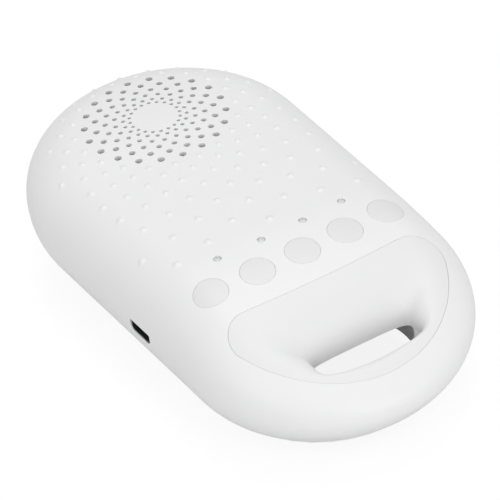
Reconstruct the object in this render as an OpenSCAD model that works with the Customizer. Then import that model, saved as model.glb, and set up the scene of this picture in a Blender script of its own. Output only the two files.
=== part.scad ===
// Portable sound machine: a pillow-shaped housing with a round speaker grille,
// five flush buttons in an arc, four small indicator lights, a charging socket
// in the side and a carrying slot through the handle end.
// +Z is up, +Y points to the speaker end, and the origin is on the table
// under the middle of the body.

/* [Body] */
// Overall length, along Y
body_l = 126.5; // [122:0.5:140]
// Overall width, along X
body_w = 67.5; // [65:0.5:72]
// Overall height, from the table to the crown
body_h = 34; // [33:0.5:37]
// Height of the rubber feet below the bottom cover
foot_h = 0.8; // [0.4:0.1:1.2]
// Wall thickness of the housing
wall = 2; // [1.6:0.1:2.4]
// Crosswise radius of the domed top
crown_r = 170; // [140:5:240]
// Radius of the rounded shoulder between the top and the side
shoulder_r = 13.5; // [12.5:0.25:14.5]
// Radius of the rounded edge between the side and the bottom
base_r = 18.3; // [17.3:0.1:18.6]
// Distance from the handle end to where the top starts to fall towards it
nose_l = 51.75; // [46:0.25:55]
// Lengthwise radius of that fall
nose_r = 91; // [80:1:120]

/* [Speaker] */
// Distance from the speaker end of the body to the middle of the speaker
speaker_inset = 27.25; // [26.5:0.25:28.5]
// Radius of the outermost ring of sound holes
grille_r = 16; // [14:0.5:16]
// Radius of the innermost ring of sound holes
grille_inner_r = 5.75; // [5:0.25:7]
// Number of rings of sound holes
grille_rings = 6; // [4:1:6]
// Number of sound holes in one ring
holes_per_ring = 20; // [16:1:20]
// Diameter of the outermost sound holes
hole_d = 1.65; // [1.2:0.05:1.9]
// Diameter of the innermost sound holes
hole_inner_d = 0.85; // [0.6:0.05:1]
// Outer radius of the speaker frame
speaker_r = 19; // [18.5:0.1:19.5]
// Depth below the crown of the face that the speaker is clamped against
speaker_depth = 6.5; // [6:0.1:7]
// Travel of the speaker cone each way
cone_travel = 0.4; // [0.2:0.05:0.5]

/* [Buttons and lights] */
// Distance from the middle of the speaker to the middle button
button_distance = 60.5; // [59.5:0.5:61.5]
// Radius of the arc that the buttons lie on
button_arc_r = 150; // [110:5:250]
// Distance from the side of the body to the outermost buttons, along the arc
button_margin = 10.95; // [10.55:0.1:12.55]
// Diameter of a button
button_d = 7.8; // [7:0.1:8.2]
// Gap between a button and the rim of its hole
button_gap = 0.1; // [0.08:0.01:0.2]
// Travel of a button
button_travel = 0.25; // [0.15:0.05:0.3]
// How far a button stands above the housing
button_proud = 0.1; // [0:0.05:0.3]
// Distance from the middle of the speaker to the row of indicator lights
light_distance = 52.5; // [51.5:0.1:53.5]
// Radius of the arc that the lights lie on
light_arc_r = 110; // [90:5:200]
// Distance between neighbouring lights along the arc
light_pitch = 10.8; // [10:0.1:11.2]
// Diameter of a light guide
light_d = 1.8; // [1.4:0.1:2]

/* [Handle] */
// Distance from the middle of the speaker to the shallow edge of the handle panel
panel_distance = 69; // [68.5:0.5:70.5]
// Radius of that shallow edge
panel_arc_r = 150; // [110:5:250]
// Distance from the side of the body to the panel's round edge
panel_inset = 5.25; // [4.75:0.05:6.25]
// Radius of the panel's corners
panel_corner_r = 6; // [4:0.5:8]
// Gap between the panel and the housing
panel_gap = 0.1; // [0.08:0.01:0.2]
// Thickness of the two handle liners
liner_t = 1.8; // [1.4:0.1:2]
// Distance from the handle end of the body to the middle of the slot
slot_inset = 14.8; // [14.3:0.1:15.3]
// Length of the slot, across the body
slot_l = 26; // [22:0.5:28]
// Width of the slot
slot_w = 8.6; // [7.8:0.1:9.2]
// Depth below the crown of the narrowest part of the slot
slot_depth = 15.2; // [15:0.1:16.2]
// Distance from the side of the body to the round edge of the scoop under the handle
scoop_inset = 11.75; // [11.55:0.05:12.75]
// Distance from the middle of the speaker to the shallow edge of the scoop
scoop_distance = 59.5; // [59:0.5:60.5]
// Radius of that shallow edge
scoop_arc_r = 60; // [50:5:100]

/* [Bottom cover] */
// Distance from the outline of the body to the edge of the bottom cover
cover_inset = 8.25; // [8:0.05:8.5]
// Gap around the bottom cover
cover_gap = 0.15; // [0.1:0.01:0.25]
// Thickness of the bottom cover
cover_t = 2; // [1.6:0.1:2.2]
// Height of the raised edge and of the seats on the cover
seat_z = 5; // [4.8:0.1:5.2]

/* [Charging socket] */
// Distance from the middle of the speaker to the socket, towards the handle
socket_distance = 44.5; // [44:0.1:45.5]
// Depth of the socket's middle below the crown
socket_depth = 16.8; // [16.4:0.1:17.2]
// Length of the cut-out for the plug
socket_cut_l = 8.2; // [8:0.1:9.4]
// Height of the cut-out for the plug
socket_cut_h = 3; // [2.9:0.1:3.8]

/* [Boards and battery] */
// Thickness of the circuit boards
board_t = 1.2; // [0.8:0.1:1.6]
// Depth of the upper face of the button board below the middle button's place
key_board_depth = 11.07; // [10.67:0.1:11.17]
// Length of the battery, along Y
battery_l = 48; // [40:1:50]
// Distance from the side of the body to the battery
battery_side = 16.75; // [15.5:0.25:20]
// Depth of the battery's upper face below the crown
battery_depth = 23.4; // [23.3:0.1:25]

/* [Hidden] */

shell_white = "#eeeef0";
panel_white = "#e6e6e8";
board_green = "#1f6b45";
steel = "#b9bcc0";
black_part = "#222326";

half_w = body_w / 2;
spine = body_l / 2 - half_w;
base_z = foot_h;
speaker_y = body_l / 2 - speaker_inset;
nose_start = max(body_l / 2 - nose_l, button_distance - 13 - speaker_y);
speaker_seat_z = body_h - speaker_depth;
socket_z = body_h - socket_depth;
slot_z = body_h - slot_depth;
panel_r = half_w - panel_inset;
scoop_r = half_w - scoop_inset;
button_pitch = (half_w - button_margin) / 2;
battery_w = body_w - 2 * battery_side;

// ---- the outline and the domed surface -------------------------------------

// Middle of the shoulder's arc, the height of the widest line, and the angle
// at which the dome passes into the shoulder; the fall towards the handle end
// fades out downwards and reaches as far as bend_z
bend_z = 5;
shoulder_x = half_w - shoulder_r;
belt_z = body_h - crown_r + sqrt(pow(crown_r - shoulder_r, 2) - pow(shoulder_x, 2));
blend_a = asin(shoulder_x / (crown_r - shoulder_r));
base_round = min(base_r, belt_z - base_z);
base_x = half_w - base_round;
rim_d = half_w - cover_inset;

function spine_y(y) = max(-spine, min(spine, y));
function spine_distance(x, y) = norm([x, y - spine_y(y)]);
function dome_z(d) = d < crown_r * sin(blend_a)
    ? body_h - crown_r + sqrt(crown_r * crown_r - d * d)
    : belt_z + sqrt(max(0, shoulder_r * shoulder_r - pow(d - shoulder_x, 2)));
function nose_drop(y) = pow(max(0, -nose_start - y), 2) / (2 * nose_r);
function rise(z) = pow(max(0, (z - bend_z) / (body_h - bend_z)), 1.7);
function top_z(x, y) = let (z = dome_z(spine_distance(x, y))) z - nose_drop(y) * rise(z);
function under_z(x, y) = let (d = spine_distance(x, y) - base_x)
    d <= 0 ? base_z : base_z + base_round - sqrt(base_round * base_round - d * d);

// Stations around the outline, each with its place on the spine and its direction
side_steps = 8;
end_steps = 22;
stations = concat(
    [for (k = [0 : side_steps]) [-spine + 2 * spine * k / side_steps, 1, 0, k]],
    [for (k = [1 : end_steps - 1]) let (a = 180 * k / end_steps) [spine, cos(a), sin(a), side_steps]],
    [for (k = [0 : side_steps]) [spine - 2 * spine * k / side_steps, -1, 0, side_steps - k]],
    [for (k = [1 : end_steps - 1]) let (a = 180 + 180 * k / end_steps) [-spine, cos(a), sin(a), 0]]
);

// Profile points as [distance from the spine, height, height on the outside]
crown_steps = 3;
shoulder_steps = 8;
base_steps = 4;
function crown_path(inset) = [for (k = [1 : crown_steps]) let (a = blend_a * k / crown_steps)
    [(crown_r - inset) * sin(a), body_h - crown_r + (crown_r - inset) * cos(a),
     body_h - crown_r + crown_r * cos(a)]];
function shoulder_path(inset) = [for (k = [1 : shoulder_steps])
    let (a = blend_a + (90 - blend_a) * k / shoulder_steps)
    [shoulder_x + (shoulder_r - inset) * sin(a), belt_z + (shoulder_r - inset) * cos(a),
     belt_z + shoulder_r * cos(a)]];
function base_path(inset) = let (end_a = acos((rim_d - base_x) / (base_round - inset)))
    [for (k = [0 : base_steps]) let (a = end_a * k / base_steps)
    [base_x + (base_round - inset) * cos(a), base_z + base_round - (base_round - inset) * sin(a),
     base_z + base_round - base_round * sin(a)]];
function outline_path(inset) = concat(crown_path(inset), shoulder_path(inset), base_path(inset));
function reversed(list) = [for (k = [len(list) - 1 : -1 : 0]) list[k]];
function station_point(p, s) = let (x = p[0] * s[1], y = s[0] + p[0] * s[2])
    [x, y, p[1] - nose_drop(y) * rise(p[2])];
function crown_line(inset) = [for (k = [0 : side_steps]) let (y = -spine + 2 * spine * k / side_steps)
    [0, y, body_h - inset - nose_drop(y)]];

// A closed solid from a crown line, rings of stations and a second crown line
module ringed_solid(first_line, rings, last_line) {
    count = len(stations);
    first = len(first_line);
    last = first + count * len(rings);
    points = concat(first_line, [for (p = rings) for (s = stations) station_point(p, s)], last_line);
    faces = [
        for (i = [0 : count - 1]) let (j = (i + 1) % count, a = stations[i][3], b = stations[j][3])
            each concat(
                a == b ? [] : [[a, b, first + j]],
                [[a, first + j, first + i]],
                [for (r = [0 : len(rings) - 2]) each let (k = first + r * count)
                    [[k + i, k + j, k + count + j], [k + i, k + count + j, k + count + i]]],
                [[last - count + i, last - count + j, last + b]],
                a == b ? [] : [[last - count + i, last + b, last + a]])
    ];
    polyhedron(points, faces);
}

// The hollow housing, open at the bottom
module hollow_body() {
    ringed_solid(crown_line(0), concat(outline_path(0), reversed(outline_path(wall))), crown_line(wall));
}

// The space inside the top, down to a flat floor; it trims posts to the dome
module dome_space(inset, floor_z) {
    floor_line = [for (p = crown_line(0)) [0, p[1], floor_z]];
    rings = concat(crown_path(inset), shoulder_path(inset),
        [[half_w - inset, floor_z, 0], [half_w / 2, floor_z, 0]]);
    ringed_solid(crown_line(inset), rings, floor_line);
}

// A solid with the body's outline, from one half of its cross-section
module swept_outline() {
    for (end = [0, 1]) rotate([0, 0, 180 * end]) translate([0, spine, 0])
        rotate_extrude(angle = 180, $fn = 96) children();
    rotate([90, 0, 0]) linear_extrude(2 * spine, center = true) {
        children();
        mirror([1, 0]) children();
    }
}

module outline_prism(d, z0, z1) {
    swept_outline() translate([0, z0]) square([d, z1 - z0]);
}

// ---- outlines of the handle -------------------------------------------------

// A D-shaped outline: a shallow edge that bows towards the handle end, a
// round edge around the end of the spine, and rounded corners between them
round_steps = 20;
corner_steps = 5;
edge_steps = 8;
function corner_of(middle, arc_r, round_r, corner_r) = let (
        far = arc_r + corner_r,
        near = round_r - corner_r,
        gap = middle + spine,
        y = (gap * gap + near * near - far * far) / (2 * gap) - spine)
    [sqrt(near * near - pow(y + spine, 2)), y];
function d_outline(distance, arc_r, round_r, corner_r) = let (
        middle = speaker_y - distance + arc_r,
        c = corner_of(middle, arc_r, round_r, corner_r),
        low = atan2(c[1] + spine, c[0]),
        high = atan2(middle - c[1], c[0]),
        top = atan2(c[0], middle - c[1]))
    concat(
        [for (k = [0 : round_steps]) let (a = -180 - low + (180 + 2 * low) * k / round_steps)
            [round_r * cos(a), -spine + round_r * sin(a)]],
        [for (k = [1 : corner_steps]) let (a = low + (high - low) * k / corner_steps)
            [c[0] + corner_r * cos(a), c[1] + corner_r * sin(a)]],
        [for (k = [1 : edge_steps - 1]) let (a = top - 2 * top * k / edge_steps)
            [arc_r * sin(a), middle - arc_r * cos(a)]],
        [for (k = [0 : corner_steps - 1]) let (a = 180 - high + (high - low) * k / corner_steps)
            [-c[0] + corner_r * cos(a), c[1] + corner_r * sin(a)]]);

slot_y = slot_inset - body_l / 2;
function panel_outline(grow) =
    d_outline(panel_distance - grow, panel_arc_r - grow, panel_r + grow, panel_corner_r + grow);
scoop_corner_r = 5;
function scoop_outline(grow) =
    d_outline(scoop_distance - grow, scoop_arc_r - grow, scoop_r + grow, scoop_corner_r + grow);

// The slot's rim, a squarish oval; each point of an outline around it is led to
// the point that lies at the same share of the outline's reach
slot_axis_y = slot_y + 0.15 * slot_w;
function reach_of(list) = [max([for (p = list) p[0]]),
    max([for (p = list) p[1]]) - slot_axis_y, slot_axis_y - min([for (p = list) p[1]])];
function slot_point(p, grow, reach) = let (
        e = 4.5,
        back = p[1] > slot_axis_y,
        half_l = slot_l / 2 + grow,
        half_w = (back ? 0.35 : 0.65) * slot_w + grow,
        u = p[0] / reach[0],
        v = (p[1] - slot_axis_y) / (back ? reach[1] : reach[2]),
        s = pow(pow(abs(u), e) + pow(abs(v), e), -1 / e))
    [u * s * half_l, slot_axis_y + v * s * half_w];
function mix(a, b, t) = a * (1 - t) + b * t;

// The dish stays flush with the housing at its rim and rolls over into the slot,
// more roundly towards the handle end: angles of the roll, its power around the
// slot, its share of the way from the rim, and its share of the way down
roll_angles = [90, 88, 85, 80, 72, 62, 50, 36, 20, 0];
function roll_power(p) = mix(0.9, 2 / 3, 0.5 + 0.5 * sin(atan2(p[1] - slot_axis_y, p[0])));
function roll_share(a, power) = pow(sin(a), power);
function roll_depth(a, power) = 1 - pow(cos(a), power);
// The scoop rises from its mouth and levels off towards the slot
scoop_shares = [1, 0.85, 0.7, 0.55, 0.4, 0.25, 0.12, 0];
function scoop_rise(t) = 1.5 * t - 0.5 * t * t;

// A closed ring of rings, each ring a list of points with the same count
module looped_solid(rings) {
    count = len(rings[0]);
    total = count * len(rings);
    polyhedron([for (r = rings) each r], [
        for (r = [0 : len(rings) - 1]) for (i = [0 : count - 1])
            let (j = (i + 1) % count, a = r * count, b = (a + count) % total)
            each [[a + i, a + j, b + j], [a + i, b + j, b + i]]
    ]);
}

// ---- places shared by several parts -----------------------------------------

cover_edge = rim_d - cover_gap;
cover_floor_z = base_z + cover_t;
screw_hole_r = 0.8;
screw_r = screw_hole_r - 0.02;
head_r = 1.9;
head_h = 1.1;
shank_clear = 0.25;

cover_boss_r = 2.4;
cover_pad_r = 3.2;
cover_screw_x = rim_d - cover_pad_r - 0.5;
cover_screw_at = [for (y = [speaker_y - 11, speaker_y - 33], x = [-cover_screw_x, cover_screw_x]) [x, y]];
cover_head_z = seat_z - 1.3;

scoop_ear_r = 3;
scoop_screw_at = [for (x = [-12, 12])
    [x, speaker_y - scoop_distance + scoop_arc_r - sqrt(scoop_arc_r * scoop_arc_r - x * x) + 3.6]];

speaker_screw_r = speaker_r + 2.5;
speaker_screw_at = [for (a = [30, 150, 270]) [speaker_screw_r * cos(a), speaker_y + speaker_screw_r * sin(a)]];

// A place on a shallow arc across the body, the given length from its middle
function on_arc(distance, r, length) = let (a = length / r * 180 / PI)
    [r * sin(a), speaker_y - distance + r * (1 - cos(a))];
button_at = [for (k = [-2 : 2]) on_arc(button_distance, button_arc_r, k * button_pitch)];
light_at = [for (k = [-1.5 : 1.5]) on_arc(light_distance, light_arc_r, k * light_pitch)];

// The button board reaches from behind the lights to in front of the buttons
key_board_z = top_z(0, speaker_y - button_distance) - key_board_depth;
key_back_y = speaker_y - light_distance + 7.4;
key_front_y = speaker_y - button_distance - 4.8;
key_half_w = half_w - 8.5;
key_post_r = 2.2;
key_post_at = [[-20, key_back_y - 3], [20, key_back_y - 3], [0, key_back_y - 2.4]];

socket_y = speaker_y - socket_distance;
socket_body = [7.8, 7.5, 2.6];
main_top_z = socket_z - socket_body[2] / 2;
main_back_y = socket_y + 8.1;
main_front_y = socket_y - 10.3;
main_left_x = wall + 3 - half_w;
main_right_x = half_w - 9;
main_post_at = [for (x = [-14, 14]) [x, main_back_y - 3.2]];

switch_body = [4.5, 4.5, 1.8];
plunger_r = 1.1;
plunger_h = 0.9;
stem_gap = button_travel + 0.05;
stem_r = 1.5;
plunger_top_z = key_board_z + switch_body[2] + plunger_h;

pad_t = 0.8;
battery_y = speaker_y - 2 - battery_l / 2;
battery_z = cover_floor_z + pad_t;
battery_t = body_h - battery_depth - battery_z;
foot_r = 3.5;
foot_t = foot_h + 0.8;
foot_at = [for (y = [speaker_y + 1, speaker_y - 50], x = [-12.5, 12.5]) [x, y]];

// ---- housing ------------------------------------------------------------------

// A ring's share of the way from the innermost ring to the outermost one;
// the spacing grows outwards
function ring_share(k) = pow(k / (grille_rings - 1), 1.22);

module grille_holes() {
    for (k = [0 : grille_rings - 1]) {
        r = mix(grille_inner_r, grille_r, ring_share(k));
        d = mix(hole_inner_d, hole_d, ring_share(k));
        for (i = [0 : holes_per_ring - 1])
            rotate([0, 0, 360 / holes_per_ring * (i + (k % 2) / 2)])
                translate([r, 0, speaker_seat_z]) cylinder(d = d, h = body_h, $fn = 16);
    }
}

module housing_posts() {
    translate([0, speaker_y, speaker_seat_z]) difference() {
        cylinder(r = speaker_r + 0.2, h = body_h, $fn = 96);
        translate([0, 0, -1]) cylinder(r = speaker_r - 2, h = body_h + 2, $fn = 96);
    }
    for (p = speaker_screw_at) translate([p[0], p[1], speaker_seat_z - 1.3]) cylinder(r = 2.4, h = body_h, $fn = 32);
    for (p = cover_screw_at) translate([p[0], p[1], seat_z]) cylinder(r = cover_boss_r, h = body_h, $fn = 32);
    for (p = key_post_at) translate([p[0], p[1], key_board_z]) cylinder(r = key_post_r, h = body_h, $fn = 32);
    for (p = main_post_at) translate([p[0], p[1], main_top_z]) cylinder(r = key_post_r, h = body_h, $fn = 32);
}

module post_bores() {
    for (p = speaker_screw_at) translate([p[0], p[1], speaker_seat_z - 2]) cylinder(r = screw_hole_r, h = 4, $fn = 24);
    for (p = cover_screw_at) translate([p[0], p[1], seat_z - 1]) cylinder(r = screw_hole_r, h = 8, $fn = 24);
    for (p = key_post_at) translate([p[0], p[1], key_board_z - 1]) cylinder(r = screw_hole_r, h = 6, $fn = 24);
    for (p = main_post_at) translate([p[0], p[1], main_top_z - 1]) cylinder(r = screw_hole_r, h = 6, $fn = 24);
}

// The plug cut-out: a flat-topped opening with its lower corners cut off
module socket_cut() {
    l = socket_cut_l / 2;
    h = socket_cut_h / 2;
    c = socket_cut_h / 3;
    translate([-half_w - 1, socket_y, socket_z]) rotate([90, 0, 90])
        linear_extrude(wall + 3) polygon([[-l, h], [-l, c - h], [c - l, -h], [l - c, -h], [l, c - h], [l, h]]);
}

module housing() {
    color(shell_white) difference() {
        union() {
            hollow_body();
            intersection() {
                housing_posts();
                dome_space(wall / 2, seat_z);
            }
        }
        translate([0, speaker_y, 0]) grille_holes();
        post_bores();
        for (p = button_at) translate([p[0], p[1], key_board_z]) cylinder(d = button_d + 2 * button_gap, h = body_h, $fn = 48);
        for (p = light_at) translate([p[0], p[1], key_board_z]) cylinder(d = light_d + 0.1, h = body_h, $fn = 24);
        translate([0, 0, slot_z]) linear_extrude(body_h) polygon(panel_outline(0));
        socket_cut();
    }
}

// ---- bottom cover -------------------------------------------------------------

module cover_section() {
    edge = cover_edge - base_x;
    steps = 8;
    end_a = asin(edge / base_round);
    polygon(concat(
        [[0, base_z], [base_x, base_z]],
        [for (k = [1 : steps]) let (a = end_a * k / steps)
            [base_x + base_round * sin(a), base_z + base_round - base_round * cos(a)]],
        [[cover_edge, seat_z], [cover_edge - 2.2, seat_z], [cover_edge - 4.1, cover_floor_z], [0, cover_floor_z]]));
}

module bottom_cover() {
    color(shell_white) difference() {
        union() {
            swept_outline() cover_section();
            translate([0, 0, cover_floor_z - 0.5]) linear_extrude(seat_z - cover_floor_z + 0.5)
                polygon(scoop_outline(2.3));
            for (p = cover_screw_at) translate([p[0], p[1], cover_floor_z - 0.1])
                cylinder(r = cover_pad_r, h = seat_z - cover_floor_z + 0.1, $fn = 32);
            for (p = scoop_screw_at) translate([p[0], p[1], cover_floor_z - 0.1])
                cylinder(r = scoop_ear_r, h = seat_z - cover_floor_z + 0.1, $fn = 32);
        }
        translate([0, 0, -1]) linear_extrude(seat_z + 2) polygon(scoop_outline(0));
        for (p = concat(cover_screw_at, scoop_screw_at)) translate([p[0], p[1], -1]) {
            cylinder(r = screw_r + shank_clear, h = seat_z + 2, $fn = 24);
            cylinder(r = head_r + 0.2, h = cover_head_z + 1, $fn = 32);
        }
        for (p = foot_at) translate([p[0], p[1], -1]) cylinder(r = foot_r + 0.1, h = foot_t + 1, $fn = 32);
    }
}

// ---- handle -------------------------------------------------------------------

// The dished panel on top: its visible face from the slot out to the rim, and back below
module handle_liner() {
    rim = panel_outline(-panel_gap);
    reach = reach_of(rim);
    function layer(a, grow, drop) = [for (p = rim)
        let (power = roll_power(p), q = mix(p, slot_point(p, grow, reach), roll_share(a, power)))
        [q[0], q[1], mix(top_z(q[0], q[1]) - drop, slot_z, roll_depth(a, power))]];
    color(panel_white) looped_solid(concat(
        [for (a = roll_angles) layer(a, 0, 0)],
        [for (a = reversed(roll_angles)) layer(a, liner_t, liner_t)]));
}

// The scoop below: it stands on the cover with a flat flange and carries the liner
scoop_lip = 1.2;
module handle_scoop() {
    rim = scoop_outline(-panel_gap);
    mouth = scoop_outline(-panel_gap - scoop_lip);
    outside = scoop_outline(-panel_gap + liner_t - scoop_lip);
    wide = scoop_outline(2);
    flange_z = seat_z + 1.6;
    function flat_ring(list, z) = [for (p = list) [p[0], p[1], z]];
    function layer(list, t, grow, low_z, lift) = let (reach = reach_of(list)) [for (p = list)
        let (q = mix(p, slot_point(p, grow, reach), t),
            z = mix(under_z(p[0], p[1]) + 0.1, slot_z, scoop_rise(t)) + lift)
        [q[0], q[1], min(slot_z, max(low_z, z))]];
    function lip(list) = [for (p = list) [p[0], p[1], under_z(p[0], p[1]) + 0.1]];
    color(panel_white) difference() {
        union() {
            looped_solid(concat(
                [for (k = [0 : 4]) layer(outside, scoop_shares[k], liner_t, flange_z, 0.6)],
                [flat_ring(wide, flange_z), flat_ring(wide, seat_z), flat_ring(rim, seat_z), lip(rim)],
                [for (t = reversed(scoop_shares)) layer(mouth, t, 0, 0, 0)]));
            for (p = scoop_screw_at) translate([p[0], p[1], seat_z]) cylinder(r = scoop_ear_r, h = 5, $fn = 32);
        }
        for (p = scoop_screw_at) translate([p[0], p[1], seat_z - 1]) cylinder(r = screw_hole_r, h = 5, $fn = 24);
    }
}

// ---- buttons and lights -------------------------------------------------------

// A block under the domed surface around one place, lifted above it by a little
patch_steps = 8;
module surface_block(p, reach, low_z, lift) {
    n = patch_steps + 1;
    at = [for (i = [0 : patch_steps]) for (j = [0 : patch_steps])
        [p[0] + reach * (2 * i / patch_steps - 1), p[1] + reach * (2 * j / patch_steps - 1)]];
    loop = concat([for (j = [0 : n - 2]) j], [for (i = [0 : n - 2]) i * n + n - 1],
        [for (j = [n - 1 : -1 : 1]) (n - 1) * n + j], [for (i = [n - 1 : -1 : 1]) i * n]);
    polyhedron(concat([for (q = at) [q[0], q[1], top_z(q[0], q[1]) + lift]], [for (k = loop) [at[k][0], at[k][1], low_z]]),
        concat(
            [for (i = [0 : n - 2]) for (j = [0 : n - 2]) let (k = i * n + j)
                each [[k, k + 1, k + n], [k + 1, k + n + 1, k + n]]],
            [for (k = [0 : len(loop) - 1]) let (next = (k + 1) % len(loop))
                each [[loop[k], n * n + k, loop[next]], [loop[next], n * n + k, n * n + next]]],
            [[for (k = [len(loop) - 1 : -1 : 0]) n * n + k]]));
}

module button(k) {
    p = button_at[k];
    z = top_z(p[0], p[1]);
    skirt_z = z - wall - 2.9;
    color(panel_white) union() {
        intersection() {
            translate([p[0], p[1], skirt_z - 0.4]) cylinder(d = button_d, h = 12, $fn = 48);
            surface_block(p, button_d / 2 + 0.4, skirt_z - 0.6, button_proud);
        }
        translate([p[0], p[1], skirt_z - 0.8]) cylinder(d = button_d + 1.2, h = 0.8, $fn = 48);
        translate([p[0], p[1], plunger_top_z + stem_gap])
            cylinder(r = stem_r, h = skirt_z - plunger_top_z - stem_gap, $fn = 32);
    }
}
module button_power() { button(0); }
module button_volume_down() { button(1); }
module button_volume_up() { button(2); }
module button_sound() { button(3); }
module button_timer() { button(4); }

module light_guides() {
    z = key_board_z + 0.8;
    color("#a9a9ab") for (p = light_at) translate([p[0], p[1], z])
        cylinder(d = light_d, h = top_z(p[0], p[1]) - 0.35 - z, $fn = 24);
}

// ---- speaker ------------------------------------------------------------------

mesh_t = 0.3;
gasket_t = 1;
flange_t = 1;
mesh_z = speaker_seat_z - mesh_t;
gasket_z = mesh_z - gasket_t;
basket_z = gasket_z - flange_t;
flange_in_r = speaker_r - 2.8;
plate_z = basket_z - 6.5;
basket_t = 0.8;
coil_r = 6;
coil_t = 0.3;
coil_gap = 0.45;
plate_t = 2;
magnet_t = 4;
yoke_t = 1.5;
surround_w = 1.6;
cone_r = flange_in_r - surround_w - 0.4;
cone_low_z = plate_z + 3.1;

// A ring around the speaker's axis
module speaker_ring(r_in, r_out, z, h) {
    translate([0, speaker_y, z]) rotate_extrude($fn = 96) translate([r_in, 0]) square([r_out - r_in, h]);
}

module speaker_mesh() {
    color("#6f6664") translate([0, speaker_y, mesh_z]) cylinder(r = speaker_r - 0.1, h = mesh_t, $fn = 96);
}
module speaker_gasket() {
    color(black_part) speaker_ring(speaker_r - 2.2, speaker_r - 0.1, gasket_z, gasket_t);
}

module speaker_basket() {
    color(steel) difference() {
        union() {
            speaker_ring(flange_in_r, speaker_r, basket_z, flange_t);
            translate([0, speaker_y, 0]) rotate_extrude($fn = 96) polygon([
                [coil_r + 1, plate_z], [10, plate_z], [flange_in_r + 1, basket_z], [flange_in_r + 1, basket_z + flange_t],
                [flange_in_r, basket_z + flange_t], [flange_in_r, basket_z], [10 - basket_t, plate_z + basket_t],
                [coil_r + 1, plate_z + basket_t]]);
            for (p = speaker_screw_at) screw_ear(p);
        }
        for (p = speaker_screw_at) translate([p[0], p[1], basket_z - 1])
            cylinder(r = screw_r + shank_clear, h = flange_t + 2, $fn = 24);
        for (a = [45 : 90 : 315]) translate([0, speaker_y, plate_z + 2]) rotate([0, 0, a])
            translate([6, -3.5, 0]) cube([14, 7, 2.6]);
    }
}
// A screw ear: a round pad joined to the flange by a short tab
module screw_ear(p) {
    a = atan2(p[1] - speaker_y, p[0]);
    translate([p[0], p[1], basket_z]) cylinder(r = 2.4, h = flange_t, $fn = 32);
    translate([0, speaker_y, basket_z]) rotate([0, 0, a])
        translate([speaker_r - 1, -2.4, 0]) cube([speaker_screw_r - speaker_r + 1, 4.8, flange_t]);
}

module speaker_surround() {
    mid = flange_in_r - surround_w / 2;
    r = surround_w / 2;
    color(black_part) translate([0, speaker_y, basket_z + 0.2]) rotate_extrude($fn = 96)
        intersection() {
            translate([mid - r, 0]) square([2 * r, 2 * r]);
            difference() {
                translate([mid, 0]) circle(r = r, $fn = 32);
                translate([mid, 0]) circle(r = r - 0.4, $fn = 32);
            }
        }
}
module speaker_cone() {
    color("#3b3836") translate([0, speaker_y, 0]) rotate_extrude($fn = 96) polygon([
        [coil_r + coil_t / 2, cone_low_z], [cone_r, basket_z], [cone_r, basket_z + 0.5],
        [coil_r + coil_t / 2, cone_low_z + 0.5]]);
}
module dust_cap() {
    r = coil_r + coil_t / 2;
    h = 1.6;
    ball_r = (r * r + h * h) / (2 * h);
    color(black_part) translate([0, speaker_y, cone_low_z + 0.5]) rotate_extrude($fn = 96)
        intersection() {
            square([r, h]);
            difference() {
                translate([0, h - ball_r]) circle(r = ball_r, $fn = 96);
                translate([0, h - ball_r]) circle(r = ball_r - 0.3, $fn = 96);
            }
        }
}
module voice_coil() {
    color("#b4693c") speaker_ring(coil_r - coil_t / 2, coil_r + coil_t / 2, plate_z - plate_t - 0.5, cone_low_z + 0.5 - plate_z + plate_t + 0.5);
}
module speaker_spider() {
    color("#c8a24a") speaker_ring(coil_r + 0.5, 10 - basket_t - 0.3, plate_z + basket_t, 0.4);
}
module speaker_top_plate() {
    color(steel) speaker_ring(coil_r + coil_t / 2 + coil_gap, 10, plate_z - plate_t, plate_t);
}
module speaker_magnet() {
    color("#3a3c40") speaker_ring(coil_r + 1.6, 11, plate_z - plate_t - magnet_t, magnet_t);
}
module speaker_yoke() {
    low = plate_z - plate_t - magnet_t - yoke_t;
    color(steel) translate([0, speaker_y, low]) {
        cylinder(r = 10, h = yoke_t, $fn = 96);
        cylinder(r = coil_r - coil_t / 2 - coil_gap, h = yoke_t + magnet_t + plate_t - 0.2, $fn = 64);
    }
}
module speaker_terminals() {
    color("#c9a13b") difference() {
        translate([speaker_plug_x - 2.5, speaker_y - flange_in_r - 1.2, basket_z - 1.4]) cube([5, 1.8, 1.4]);
        translate([0, speaker_y, basket_z - 2]) cylinder(r = flange_in_r + 1.1, h = 3, $fn = 96);
    }
}

// ---- boards -------------------------------------------------------------------

module key_board() {
    color(board_green) difference() {
        translate([-key_half_w, key_front_y, key_board_z - board_t])
            cube([2 * key_half_w, key_back_y - key_front_y, board_t]);
        for (p = key_post_at) translate([p[0], p[1], key_board_z - board_t - 1])
            cylinder(r = screw_r + shank_clear, h = board_t + 2, $fn = 24);
    }
}
module key_switches() {
    color(black_part) for (p = button_at) translate([p[0], p[1], key_board_z]) {
        translate([-switch_body[0] / 2, -switch_body[1] / 2, 0]) cube(switch_body);
        translate([0, 0, switch_body[2]]) cylinder(r = plunger_r, h = plunger_h, $fn = 24);
    }
}
module indicator_leds() {
    color("#f4f2d8") for (p = light_at) translate([p[0] - 0.8, p[1] - 0.5, key_board_z]) cube([1.6, 1, 0.7]);
}
header_x = main_right_x - 18.75;
header_y = (max(key_front_y, main_front_y) + min(key_back_y, main_back_y)) / 2 - 1.6;
module pin_header() {
    color(black_part) translate([header_x, header_y - 1.25, main_top_z])
        cube([12, 2.5, key_board_z - board_t - main_top_z]);
}
module main_board() {
    color(board_green) difference() {
        translate([main_left_x, main_front_y, main_top_z - board_t])
            cube([main_right_x - main_left_x, main_back_y - main_front_y, board_t]);
        for (p = main_post_at) translate([p[0], p[1], main_top_z - board_t - 1])
            cylinder(r = screw_r + shank_clear, h = board_t + 2, $fn = 24);
    }
}
socket_mouth_x = 0.4 - half_w;
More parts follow.
